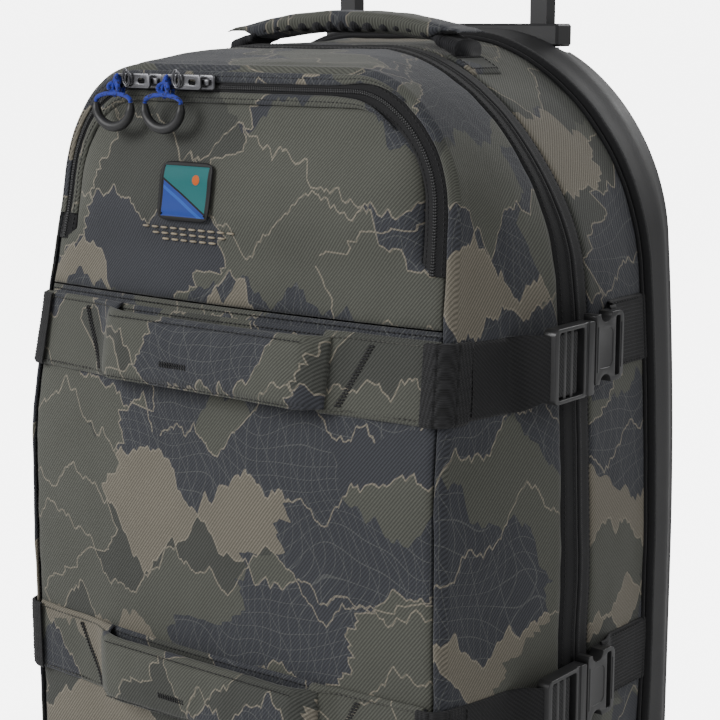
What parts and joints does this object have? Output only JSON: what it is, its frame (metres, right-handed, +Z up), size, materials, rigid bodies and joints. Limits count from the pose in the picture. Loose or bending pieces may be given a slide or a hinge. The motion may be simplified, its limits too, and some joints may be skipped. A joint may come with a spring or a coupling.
{
  "type": "rolling duffel bag",
  "caption": "Wheeled soft travel bag with a zipped lid, front pocket, compression straps, moulded back shell and telescopic handle.",
  "frame": {"origin": "on the floor, under the middle of the bag with its handle extended", "axes": "+Z up; the front of the bag faces -Y; +X is the right side seen from the front"},
  "size_m": [0.391, 0.2844, 1.0405],
  "materials": {
    "camo_fabric": "printed diagonal twill, matt",
    "lining_fabric": "plain woven lining",
    "zip_tape": "black twill tape with a reverse coil",
    "piping_braid": "braided cord",
    "shell_black": "fine matt moulded shell",
    "webbing": "ribbed polyester webbing",
    "buckle_plastic": "satin moulded",
    "patch_rubber": "moulded, with raised coloured bands",
    "slider_metal": "gunmetal",
    "cord_blue": "braided with dark flecks",
    "grip_rubber": "satin",
    "tube_black": "satin black anodised",
    "handle_plastic": "satin",
    "housing_plastic": "fine texture",
    "hub_plastic": "satin",
    "tyre_rubber": "matt",
    "axle_steel": "turned"
  },
  "bodies": {
    "bag": {"back_shell": "shell_black", "rear_gusset": "camo_fabric", "piping": "piping_braid", "main_zip_rear": "zip_tape", "rear_lining": "lining_fabric", "base_boot": "camo_fabric", "handle_frame": "tube_black", "handle_bezel": "handle_plastic", "front_foot": "housing_plastic", "top_handle": "camo_fabric", "wheel_housing_left": "housing_plastic", "wheel_housing_right": "housing_plastic", "axle_left": "axle_steel", "axle_right": "axle_steel", "rear_web_upper_left": "webbing", "rear_web_upper_right": "webbing", "rear_web_lower_left": "webbing", "rear_web_lower_right": "webbing", "buckle_socket_upper_left": "buckle_plastic", "buckle_socket_upper_right": "buckle_plastic", "buckle_socket_lower_left": "buckle_plastic", "buckle_socket_lower_right": "buckle_plastic"},
    "lid": {"lid_shell": "camo_fabric", "pocket_liner": "lining_fabric", "pocket_zip": "zip_tape", "main_zip_front": "zip_tape", "band_upper": "camo_fabric", "band_lower": "camo_fabric", "grab_pad_upper": "camo_fabric", "grab_pad_lower": "camo_fabric", "strap_upper_left": "webbing", "strap_upper_right": "webbing", "strap_lower_left": "webbing", "strap_lower_right": "webbing"},
    "pocket": {"pocket_flap": "camo_fabric", "patch": "patch_rubber"},
    "slider_left": {"pocket_slider_left": "slider_metal"},
    "pull_left": {"pull_tab_left": "slider_metal", "pull_cord_left": "cord_blue", "pull_grip_left": "grip_rubber"},
    "slider_right": {"pocket_slider_right": "slider_metal"},
    "pull_right": {"pull_tab_right": "slider_metal", "pull_cord_right": "cord_blue", "pull_grip_right": "grip_rubber"},
    "zip_slider": {"main_slider": "slider_metal"},
    "zip_pull": {"main_pull": "slider_metal"},
    "handle_middle": {"middle_tube_left": "tube_black", "middle_tube_right": "tube_black"},
    "handle_top": {"top_tube_left": "tube_black", "top_tube_right": "tube_black", "handle_grip": "handle_plastic"},
    "button": {"release_button": "handle_plastic"},
    "buckle_clip_upper_left": {"clip_upper_left": "buckle_plastic"},
    "buckle_clip_upper_right": {"clip_upper_right": "buckle_plastic"},
    "buckle_clip_lower_left": {"clip_lower_left": "buckle_plastic"},
    "buckle_clip_lower_right": {"clip_lower_right": "buckle_plastic"},
    "wheel_left": {"tyre_left": "tyre_rubber", "hub_left": "hub_plastic"},
    "wheel_right": {"tyre_right": "tyre_rubber", "hub_right": "hub_plastic"}
  },
  "joints": [
    {"name": "lid_hinge", "type": "hinge", "parent": "bag", "child": "lid", "pos_m": [0, -0.1255, 0.0748], "axis": [1, 0, 0], "range_deg": [0, 90]},
    {"name": "pocket_hinge", "type": "hinge", "parent": "lid", "child": "pocket", "pos_m": [0, -0.10605, 0.468], "axis": [1, 0, 0], "range_deg": [0, 75]},
    {"name": "pocket_zip_travel_left", "type": "slide", "parent": "pocket", "child": "slider_left", "axis": [1, 0, 0], "range_m": [-0.02, 0.005]},
    {"name": "pull_swing_left", "type": "hinge", "parent": "slider_left", "child": "pull_left", "pos_m": [-0.066, -0.101, 0.5665], "axis": [0, 0, 1], "range_deg": [0, 90]},
    {"name": "pocket_zip_travel_right", "type": "slide", "parent": "pocket", "child": "slider_right", "axis": [1, 0, 0], "range_m": [-0.005, 0.1]},
    {"name": "pull_swing_right", "type": "hinge", "parent": "slider_right", "child": "pull_right", "pos_m": [-0.024, -0.101, 0.5665], "axis": [0, 0, 1], "range_deg": [0, 150]},
    {"name": "main_zip_travel", "type": "slide", "parent": "bag", "child": "zip_slider", "axis": [0, 0, 1], "range_m": [-0.065, 0.04]},
    {"name": "main_pull_swing", "type": "hinge", "parent": "zip_slider", "child": "zip_pull", "pos_m": [-0.19, -0.005, 0.335], "axis": [0, 1, 0], "range_deg": [0, 120]},
    {"name": "handle_lower_travel", "type": "slide", "parent": "bag", "child": "handle_middle", "axis": [0, 0, 1], "range_m": [-0.2, 0]},
    {"name": "handle_upper_travel", "type": "slide", "parent": "handle_middle", "child": "handle_top", "axis": [0, 0, 1], "range_m": [-0.2, 0]},
    {"name": "button_press", "type": "slide", "parent": "handle_top", "child": "button", "axis": [0, 0, -1], "range_m": [0, 0.003], "stiffness_N_per_m": 400},
    {"name": "unclip_upper_left", "type": "slide", "parent": "lid", "child": "buckle_clip_upper_left", "axis": [0, -1, 0], "range_m": [0, 0.03]},
    {"name": "unclip_upper_right", "type": "slide", "parent": "lid", "child": "buckle_clip_upper_right", "axis": [0, -1, 0], "range_m": [0, 0.03]},
    {"name": "unclip_lower_left", "type": "slide", "parent": "lid", "child": "buckle_clip_lower_left", "axis": [0, -1, 0], "range_m": [0, 0.03]},
    {"name": "unclip_lower_right", "type": "slide", "parent": "lid", "child": "buckle_clip_lower_right", "axis": [0, -1, 0], "range_m": [0, 0.03]},
    {"name": "wheel_spin_left", "type": "hinge", "parent": "bag", "child": "wheel_left", "pos_m": [-0.152, 0.0977, 0.036], "axis": [1, 0, 0], "continuous": true},
    {"name": "wheel_spin_right", "type": "hinge", "parent": "bag", "child": "wheel_right", "pos_m": [0.152, 0.0977, 0.036], "axis": [1, 0, 0], "continuous": true}
  ]
}
